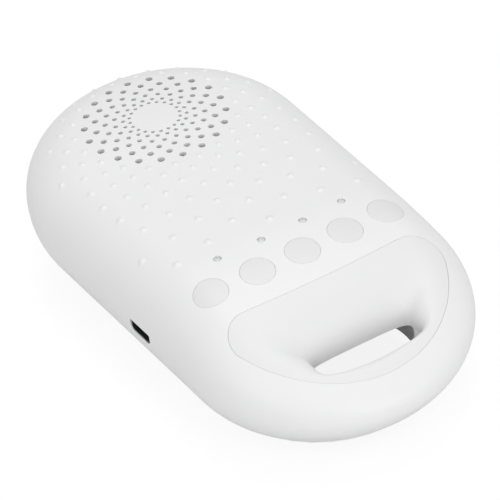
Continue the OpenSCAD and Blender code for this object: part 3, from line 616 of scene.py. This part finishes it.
def tube(x, y, low_z, r, inner_r, segments=96):
    """A ring wall that stands under the dome and ends inside its wall."""
    rings = [post_ring(x, y, r, segments, low_z), post_ring(x, y, r, segments)]
    rings += [post_ring(x, y, inner_r, segments), post_ring(x, y, inner_r, segments, low_z)]
    faces = ring_faces(segments, 4, closed=True)
    points = [p for ring in rings for p in ring]
    return fix_outward(make_mesh("tube", points, faces, [INNER] * len(faces)))


def screw_places():
    """The screw posts inside the housing: (x, y, lower end, radius, depth of the bore)."""
    reach = SPEAKER_R + SPEAKER_POST_OUT
    for a in (math.radians(30), math.radians(150), math.radians(270)):
        x, y = reach * math.cos(a), SPEAKER_Y + reach * math.sin(a)
        yield x, y, SPEAKER_SEAT_Z - SPEAKER_FLANGE_T, POST_R, SPEAKER_BORE
    for x in (COVER_POST_IN - RIM_D, RIM_D - COVER_POST_IN):
        for back in COVER_POST_FROM_SPEAKER:
            yield x, SPEAKER_Y - back, SEAT_Z, POST_R, COVER_BORE
    key_back = SPEAKER_Y - LIGHT_DISTANCE + KEY_BOARD_BACK
    for x in (-KEY_POST_X, KEY_POST_X):
        yield x, key_back - KEY_POST_IN, KEY_BOARD_Z, BOARD_POST_R, BOARD_BORE
    yield 0, key_back - KEY_MIDDLE_POST_IN, KEY_BOARD_Z, BOARD_POST_R, BOARD_BORE
    for x in (-MAIN_POST_X, MAIN_POST_X):
        yield x, SOCKET_Y + MAIN_POST_BACK, MAIN_TOP_Z, BOARD_POST_R, BOARD_BORE


def bore(x, y, low_z, high_z):
    profile = [(0, low_z), (BORE_R, low_z), (BORE_R, high_z), (0, high_z)]
    return placed(revolve(profile, 24, INNER), x, y, 0)


def hole_places():
    """The round holes in the top, as the arguments of hole_cutter."""
    under = KEY_BOARD_Z + BOARD_CLEARANCE
    for x, y, d in grille_places():
        yield x, y, d, HOLE_EDGE, SPEAKER_SEAT_Z, 24
    for x, y in BUTTON_AT:
        yield x, y, BUTTON_D + 2 * BUTTON_GAP, BUTTON_HOLE_EDGE, under, 96
    for x, y in LIGHT_AT:
        yield x, y, LIGHT_D + LIGHT_FIT, LIGHT_HOLE_EDGE, under, 32


def build_housing():
    mesh, field = housing_shell()
    shell = make_object("housing_shell", mesh)
    for k in range(4):
        shell.data.materials.append(bpy.data.materials.new("kind_%d" % k))
    bumps = list(bump_places())
    screws = list(screw_places())
    posts = [post(x, y, low_z, r) for x, y, low_z, r, _ in screws]
    bores = [bore(x, y, low_z - BORE_PAST, low_z + depth) for x, y, low_z, _, depth in screws]
    seat = tube(0, SPEAKER_Y, SPEAKER_SEAT_Z, SPEAKER_R + SEAT_RING_PAST, SPEAKER_R - SEAT_RING_W)
    drills, flares = zip(*[hole_cutter(*hole) for hole in hole_places()])
    boolean(shell, join_meshes("bumps", [bump_mesh(*b) for b in bumps]), "UNION")
    boolean(shell, join_meshes("posts", posts), "UNION")
    boolean(shell, seat, "UNION")
    drills = [*drills, panel_cutter(), socket_cutter(), *bores]
    boolean(shell, join_meshes("drills", drills), "DIFFERENCE")
    boolean(shell, join_meshes("flares", flares), "DIFFERENCE")
    centres = [(Vector((x, y, float(top_z(x, y)))), d / 2) for x, y, d in bumps]

    def bump_normal(co):
        n = field(co)
        centre, r = min(centres, key=lambda c: (c[0] - co).length_squared)
        side = co - centre
        side -= n * side.dot(n)
        q = side.length
        if q < 1e-4:
            return n
        slope = BUMP_H * 0.5 * math.pi / r * math.sin(math.pi * min(1, q / r))
        return (n + side / q * slope).normalized()

    rules = {OUTER: field, BUMP: bump_normal}
    set_normals(shell.data, lambda kind, co: rules[kind](co) if kind in rules else None, 35)
    return to_metres(shell)


# ---- the handle's two liners ---------------------------------------------------
def looped_piece(name, rings, visible):
    """A closed ring of rings; the faces before the visible count are the smooth ones."""
    n = len(rings[0])
    points = [tuple(p) for r in rings for p in r]
    kinds = []
    for r in range(len(rings)):
        kinds += [OUTER if r < visible - 1 else INNER] * n
    mesh = fix_outward(make_mesh(name, points, ring_faces(n, len(rings), closed=True), kinds))
    set_normals(mesh)
    return to_metres(make_object(name, mesh))


def build_liner():
    """The panel on top: a rounded edge, the roll into the slot, and the same roll below."""
    rim = panel_outline(-PANEL_GAP)
    slot = slot_points(rim, 0)
    rings = [ring_at(rim, top_z(rim[:, 0], rim[:, 1]) - LINER_T)]
    rings += edge_rings(panel_outline, LINER_EDGE, -PANEL_GAP, -1)
    start = panel_outline(-PANEL_GAP - LINER_EDGE)
    even_steps, even_share, turn_steps, back_steps = 20, 0.6, 36, 14
    # The panel's back has gone a share s of its way at the angle asin(s ** 1.5)
    first = math.asin(even_share ** 1.5)
    angles = [math.asin((even_share / even_steps * k) ** 1.5) for k in range(1, even_steps)]
    angles += [first + (math.pi / 2 - first) * k / turn_steps for k in range(turn_steps + 1)]
    for a in angles:
        share, depth = roll(rim, a)
        q = mix(start, slot, share)
        rings.append(ring_at(q, mix(top_z(q[:, 0], q[:, 1]), SLOT_Z, depth)))
    visible = len(rings)
    back_slot = slot_points(rim, LINER_T)
    for a in reversed(quarter(back_steps, 1)):
        share, depth = roll(rim, a)
        q = mix(rim, back_slot, share)
        rings.append(ring_at(q, mix(top_z(q[:, 0], q[:, 1]) - LINER_T, SLOT_Z, depth)))
    return looped_piece("handle_dish", rings, visible)


def build_scoop():
    """The funnel below the slot: its rounded mouth, its inside, its outside and its flange."""
    gap = -PANEL_GAP
    mouth = scoop_outline(gap - SCOOP_LIP)
    outside = scoop_outline(gap + LINER_T - SCOOP_LIP)
    slot = slot_points(mouth, 0)
    rings = [ring_at(scoop_outline(gap), SEAT_Z)]
    for a in quarter(5):
        o = scoop_outline(gap - SCOOP_EDGE * (1 - math.cos(a)))
        rings.append(ring_at(o, under_z(o[:, 0], o[:, 1]) + SCOOP_UP + SCOOP_EDGE * (1 - math.sin(a))))
    for a in quarter(4):
        o = scoop_outline(gap - SCOOP_LIP + SCOOP_LIP_EDGE * (1 - math.sin(a)))
        rings.append(ring_at(o, under_z(o[:, 0], o[:, 1]) + SCOOP_UP + SCOOP_EDGE * (1 - math.cos(a))))
    low = under_z(mouth[:, 0], mouth[:, 1]) + SCOOP_UP
    inner_steps = 40
    for k in range(1, inner_steps):
        t = k / inner_steps
        least = SCOOP_EDGE / SCOOP_DEPTH + SCOOP_STEP_UP * k
        rings.append(ring_at(mix(mouth, slot, t), mix(low, SLOT_Z, max(least, scoop_rise(t)))))
    rings.append(ring_at(slot, SLOT_Z))
    visible = len(rings)
    back_slot = slot_points(outside, LINER_T)
    flange_z = SEAT_Z + SCOOP_FLANGE_T
    back_low = under_z(outside[:, 0], outside[:, 1]) + SCOOP_UP
    for t in (1, 0.92, 0.85, 0.78, 0.7, 0.62, 0.55, 0.47, 0.4):
        z = np.minimum(SLOT_Z, mix(back_low, SLOT_Z, scoop_rise(t)) + SCOOP_LIFT)
        rings.append(ring_at(mix(outside, back_slot, t), np.maximum(flange_z, z)))
    wide = scoop_outline(SCOOP_FLANGE_W)
    rings += [ring_at(wide, flange_z), ring_at(wide, SEAT_Z)]
    return looped_piece("handle_underside", rings, visible)


# ---- buttons and lights --------------------------------------------------------
def build_button(name, x, y, segments=96, face_steps=14, edge_steps=6):
    """A cap whose face follows the dome, with a rounded edge, a skirt and a stem."""
    r = BUTTON_D / 2 + BUTTON_GROW
    flat_r = r - BUTTON_EDGE
    middle_z = float(top_z(x, y))

    def face_ring(q, sink):
        ring = []
        for px, py in circle(x, y, q, segments):
            crown = BUTTON_CROWN * (1 - (q / r) ** 2)
            ring.append((px, py, float(top_z(px, py)) + BUTTON_PROUD - BUTTON_SINK + crown - sink))
        return ring

    rings = [face_ring(flat_r * k / face_steps, 0) for k in range(1, face_steps + 1)]
    for a in quarter(edge_steps, 1):
        rings.append(face_ring(flat_r + BUTTON_EDGE * math.sin(a), BUTTON_EDGE * (1 - math.cos(a))))
    skirt_z = middle_z - WALL - SKIRT_DROP
    skirt_r = r + SKIRT_PAST
    stem_z = KEY_BOARD_Z + SWITCH_H + PLUNGER_H + STEM_GAP
    steps_down = ((r, skirt_z), (skirt_r, skirt_z), (skirt_r, skirt_z - SKIRT_T),
                  (STEM_R, skirt_z - SKIRT_T), (STEM_R, stem_z))
    for q, z in steps_down:
        rings.append([(px, py, z) for px, py in circle(x, y, q, segments)])
    top = (x, y, middle_z + BUTTON_PROUD + BUTTON_CROWN - BUTTON_SINK)
    mesh = pointed_solid(name, rings, top, (x, y, stem_z))
    set_normals(mesh)
    return to_metres(make_object(name, mesh))


def build_lights():
    parts = []
    for x, y in LIGHT_AT:
        z = float(top_z(x, y))
        r = LIGHT_D / 2
        low = KEY_BOARD_Z + LIGHT_CHIP_H - z
        profile = [(0, low), (r, low), (r, LENS_SHOULDER)]
        for a in quarter(6, 1)[:-1]:
            profile.append((r * math.cos(a), LENS_SHOULDER + LENS_CROWN * math.sin(a)))
        profile.append((0, LENS_SHOULDER + LENS_CROWN))
        parts.append(placed(revolve(profile, 32), x, y, z))
    mesh = join_meshes("light_lenses", parts)
    set_normals(mesh)
    return to_metres(make_object("light_lenses", mesh))


# ---- materials -----------------------------------------------------------------
TONE_PATCH_MM = 14.0


def material(name, color, roughness=0.5, metallic=0.0, grain=0.3, grain_size=0.25, tone=0.02,
             bump=0.03, coat=0.0, sheen=0.0, stretch=None):
    """A finish with fine grain, slow changes of tone and a roughness that varies.

    grain is the strength of the relief, grain_size and bump are in millimetres, and
    tone is the share by which the colour changes.
    """
    mat = bpy.data.materials.new(name)
    mat.use_nodes = True
    nodes, links = mat.node_tree.nodes, mat.node_tree.links
    shader = nodes["Principled BSDF"]
    shader.inputs["Metallic"].default_value = metallic
    shader.inputs["Coat Weight"].default_value = coat
    shader.inputs["Sheen Weight"].default_value = sheen
    where = nodes.new("ShaderNodeTexCoord")
    mapping = nodes.new("ShaderNodeMapping")
    if stretch:
        mapping.inputs["Scale"].default_value = stretch
    links.new(where.outputs["Object"], mapping.inputs["Vector"])

    def noise(scale_mm, detail):
        n = nodes.new("ShaderNodeTexNoise")
        n.inputs["Scale"].default_value = 1.0 / (scale_mm * MM)
        n.inputs["Detail"].default_value = detail
        n.inputs["Roughness"].default_value = 0.6
        links.new(mapping.outputs["Vector"], n.inputs["Vector"])
        return n.outputs["Fac"]

    def ramp(value, low, high):
        m = nodes.new("ShaderNodeMapRange")
        m.inputs["From Min"].default_value = 0.3
        m.inputs["From Max"].default_value = 0.7
        m.inputs["To Min"].default_value = low
        m.inputs["To Max"].default_value = high
        links.new(value, m.inputs["Value"])
        return m.outputs["Result"]

    def color_mix(factor, blend_type="MIX"):
        m = nodes.new("ShaderNodeMix")
        m.data_type = "RGBA"
        m.blend_type = blend_type
        links.new(factor, m.inputs["Factor"])
        return m

    slow = noise(TONE_PATCH_MM, 3)
    fine = noise(grain_size, 2)
    blend = color_mix(ramp(slow, 0, 1))
    blend.inputs["A"].default_value = (*[c * (1 - tone) for c in color], 1)
    blend.inputs["B"].default_value = (*[min(1, c * (1 + tone)) for c in color], 1)
    speck = color_mix(ramp(fine, 0, 1), "MULTIPLY")
    links.new(blend.outputs["Result"], speck.inputs["A"])
    speck.inputs["B"].default_value = (*[1 - tone * 0.6] * 3, 1)
    links.new(speck.outputs["Result"], shader.inputs["Base Color"])
    links.new(ramp(fine, roughness - 0.05, roughness + 0.05), shader.inputs["Roughness"])
    relief = nodes.new("ShaderNodeBump")
    relief.inputs["Strength"].default_value = grain
    relief.inputs["Distance"].default_value = bump * MM
    links.new(fine, relief.inputs["Height"])
    links.new(relief.outputs["Normal"], shader.inputs["Normal"])
    return mat


def dress(piece, mat, node, body):
    """Gives a piece its one finish, hides the node that it replaces, and hangs it under its body."""
    piece.data.materials.clear()
    piece.data.materials.append(mat)
    piece.data.polygons.foreach_set("material_index", [0] * len(piece.data.polygons))
    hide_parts(node)
    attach(piece, body)


SHELL = material("shell_plastic", (0.86, 0.86, 0.868), 0.46, grain=0.35, grain_size=0.22, tone=0.006)
PANEL = material("panel_plastic", (0.822, 0.822, 0.827), 0.5, grain_size=0.22, tone=0.006)
BUTTON = material("button_plastic", (0.785, 0.785, 0.79), 0.42, grain=0.2, grain_size=0.2, tone=0.006)
LENS = material("light_plastic", (0.70, 0.70, 0.70), 0.25, grain=0.1, grain_size=0.3, tone=0.03, coat=0.3)

dress(build_housing(), SHELL, "housing", BODY)
dress(build_liner(), PANEL, "handle_liner", BODY)
dress(build_scoop(), PANEL, "handle_scoop", BODY)
for (x, y), what in zip(BUTTON_AT, ("power", "volume_down", "volume_up", "sound", "timer")):
    cap = build_button(what + "_cap", x, y)
    dress(cap, BUTTON, "button_" + what, what + "_button")
dress(build_lights(), LENS, "light_guides", BODY)

# The finish of every other node, and the nodes that share one
METAL = 1.0
FINISH = {
    "bottom_cover": SHELL,
    "speaker_mesh": material("mesh_cloth", (0.16, 0.14, 0.13), 0.8, grain=0.9, grain_size=0.5,
                             tone=0.2, bump=0.2, sheen=0.2),
    "speaker_gasket": material("foam", (0.03, 0.03, 0.032), 0.85, grain=0.9, grain_size=0.6,
                               tone=0.2, bump=0.15),
    "speaker_basket": material("frame_steel", (0.55, 0.56, 0.58), 0.35, METAL, grain_size=0.8, tone=0.05),
    "speaker_surround": material("surround_rubber", (0.02, 0.02, 0.022), 0.55, grain_size=0.4, tone=0.1),
    "speaker_cone": material("cone_paper", (0.05, 0.046, 0.042), 0.8, grain=0.7, grain_size=0.7,
                             tone=0.2, bump=0.08),
    "voice_coil": material("coil_copper", (0.72, 0.33, 0.16), 0.3, METAL, grain=0.8, grain_size=0.3,
                           tone=0.1, stretch=(0.05, 0.05, 1)),
    "speaker_spider": material("spider_cloth", (0.55, 0.36, 0.13), 0.75, grain=0.8, grain_size=0.4,
                               tone=0.15, bump=0.1),
    "speaker_magnet": material("magnet_ferrite", (0.04, 0.04, 0.045), 0.5, 0.3, grain=0.5,
                               grain_size=0.5, tone=0.1),
    "speaker_terminals": material("contact_brass", (0.80, 0.58, 0.22), 0.28, METAL, grain=0.2,
                                  grain_size=0.4, tone=0.06),
    "key_board": material("circuit_board", (0.012, 0.14, 0.055), 0.35, grain=0.4, grain_size=1.2,
                          tone=0.25, coat=0.4),
    # Black plastic of the switches, pins and chips; on the charging socket it is also painted shade inside
    # the port
    "key_switches": material("black_plastic", (0.02, 0.02, 0.022), 0.45, grain=0.4, tone=0.1),
    "indicator_leds": material("light_chip", (0.85, 0.80, 0.50), 0.25, grain=0.1, grain_size=0.4,
                               tone=0.05, coat=0.4),
    "capacitors": material("capacitor_can", (0.75, 0.76, 0.78), 0.25, METAL, grain_size=0.5,
                           tone=0.04, stretch=(1, 1, 0.1)),
    "battery_connector": material("plug_plastic", (0.80, 0.74, 0.56), 0.5, grain_size=0.3, tone=0.05),
    "battery": material("battery_foil", (0.55, 0.57, 0.60), 0.38, METAL, grain=0.5, grain_size=2.5,
                        tone=0.06, bump=0.15),
    "battery_pad": material("pad_foam", (0.05, 0.05, 0.05), 0.9, grain=0.9, grain_size=0.5,
                            tone=0.2, bump=0.15),
    "battery_leads": material("lead_red", (0.50, 0.03, 0.02), 0.45, grain=0.2, grain_size=0.6, tone=0.08),
    "speaker_leads": material("lead_black", (0.03, 0.03, 0.032), 0.45, grain=0.2, grain_size=0.6, tone=0.1),
    "rubber_feet": material("foot_rubber", (0.055, 0.055, 0.058), 0.75, grain=0.7, grain_size=0.35,
                            tone=0.12, bump=0.05),
    "cover_screws": material("screw_steel", (0.50, 0.51, 0.53), 0.3, METAL, grain_size=0.5, tone=0.08),
}
ALIKE = {
    "dust_cap": "speaker_cone",
    "speaker_top_plate": "speaker_basket", "speaker_yoke": "speaker_basket",
    # The charging socket takes the black plastic finish all over: its tongue is black plastic in truth, the
    # black on its steel shell is painted shade deep in the port
    "pin_header": "key_switches", "board_chips": "key_switches", "charging_socket": "key_switches",
    "main_board": "key_board", "speaker_connector": "battery_connector",
    "scoop_screws": "cover_screws", "speaker_screws": "cover_screws",
    "key_board_screws": "cover_screws", "main_board_screws": "cover_screws",
}
for node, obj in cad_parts.items():
    mat = FINISH.get(ALIKE.get(node, node))
    if mat is None:
        continue
    if obj.material_slots:
        for s in obj.material_slots:
            s.link = "OBJECT"
            s.material = mat
    else:
        obj.data.materials.append(mat)

# ---- stage, light and camera ---------------------------------------------------
FLOOR_HALF, FLOOR_TONE = 4.0, 0.8
# What the camera sees of the floor: a glow and a dim share that takes the shadow
FLOOR_GLOW, FLOOR_DIM = 0.87, 0.16
WORLD_LIGHT = 0.55
# The photograph's frame and its long lens, in pixels of a 500 x 500 picture
FRAME_PX, FOCAL_PX = 500, 6155.1
SPEAKER_PX = (154.658, 115.825)
# Tilt, lean and azimuth in degrees, and the distance to the grille in grille radii
CAMERA_TURN = (-51.851, -6.206, 28.929)
CAMERA_DEPTH = 86.032
SENSOR_MM = 36


def shader_node(tree, kind, tone, strength=None):
    node = tree.nodes.new(kind)
    node.inputs["Color"].default_value = (tone, tone, tone, 1)
    if strength is not None:
        node.inputs["Strength"].default_value = strength
    return node


def split_by_ray(tree, output_kind, lights, seen):
    """One shader lights the part, and the camera sees the other."""
    out = tree.nodes.new(output_kind)
    path = tree.nodes.new("ShaderNodeLightPath")
    pick = tree.nodes.new("ShaderNodeMixShader")
    tree.links.new(path.outputs["Is Camera Ray"], pick.inputs["Fac"])
    tree.links.new(lights.outputs[0], pick.inputs[1])
    tree.links.new(seen.outputs[0], pick.inputs[2])
    tree.links.new(pick.outputs[0], out.inputs["Surface"])


def build_floor():
    h = FLOOR_HALF
    mesh = make_mesh("floor", [(-h, -h, 0), (h, -h, 0), (h, h, 0), (-h, h, 0)], [(0, 1, 2, 3)])
    mat = bpy.data.materials.new("floor_white")
    mat.use_nodes = True
    tree = mat.node_tree
    tree.nodes.clear()
    seen = tree.nodes.new("ShaderNodeAddShader")
    dim = shader_node(tree, "ShaderNodeBsdfDiffuse", FLOOR_DIM)
    glow = shader_node(tree, "ShaderNodeEmission", 1, FLOOR_GLOW)
    tree.links.new(dim.outputs[0], seen.inputs[0])
    tree.links.new(glow.outputs[0], seen.inputs[1])
    plain = shader_node(tree, "ShaderNodeBsdfDiffuse", FLOOR_TONE)
    split_by_ray(tree, "ShaderNodeOutputMaterial", plain, seen)
    mesh.materials.append(mat)
    make_object("floor", mesh)


def build_world():
    world = bpy.data.worlds.new("studio")
    bpy.context.scene.world = world
    world.use_nodes = True
    tree = world.node_tree
    tree.nodes.clear()
    soft = shader_node(tree, "ShaderNodeBackground", 1, WORLD_LIGHT)
    white = shader_node(tree, "ShaderNodeBackground", 1, 1.0)
    split_by_ray(tree, "ShaderNodeOutputWorld", soft, white)


def area_light(name, at, size, power):
    """A round lamp, in metres and watts, that points at the middle of the part."""
    data = bpy.data.lights.new(name, "AREA")
    data.shape = "DISK"
    data.size = size
    data.energy = power
    lamp = make_object(name, data)
    lamp.location = at
    aim = Vector((0, 0, 0.02)) - lamp.location
    lamp.rotation_euler = aim.to_track_quat("-Z", "Y").to_euler()


def build_camera():
    """The photograph's camera: a long lens that looks down at the handle end."""
    turns = (math.radians(a) for a in CAMERA_TURN)
    (ct, st), (cl, sl), (ca, sa) = ((math.cos(a), math.sin(a)) for a in turns)
    azimuth = np.array([[ca, -sa, 0], [sa, ca, 0], [0, 0, 1]])
    tilt = np.array([[1, 0, 0], [0, ct, -st], [0, st, ct]])
    lean = np.array([[cl, -sl, 0], [sl, cl, 0], [0, 0, 1]])
    turn = lean @ tilt @ np.diag([1, -1, -1]) @ azimuth
    aside = [(px - FRAME_PX / 2) / FOCAL_PX * CAMERA_DEPTH for px in SPEAKER_PX]
    anchor = np.array([0, SPEAKER_Y * MM, BODY_H * MM])
    place = -turn.T @ np.array([*aside, CAMERA_DEPTH]) * (GRILLE_R * MM) + anchor
    data = bpy.data.cameras.new("camera")
    data.sensor_width = SENSOR_MM
    data.lens = FOCAL_PX / FRAME_PX * SENSOR_MM
    data.clip_start, data.clip_end = 0.05, 20
    cam = make_object("camera", data)
    m = np.identity(4)
    m[:3] = np.column_stack([turn[0], -turn[1], -turn[2], place])
    cam.matrix_world = Matrix(m.tolist())
    bpy.context.scene.camera = cam


build_floor()
build_world()
area_light("key", at=(0.15, 0.25, 0.9), size=0.7, power=2.9)
area_light("fill", at=(-0.7, -0.4, 0.4), size=0.8, power=1.5)
area_light("front", at=(0.15, -0.95, 0.3), size=0.8, power=2.8)
build_camera()
bpy.context.scene.view_settings.view_transform = "Standard"
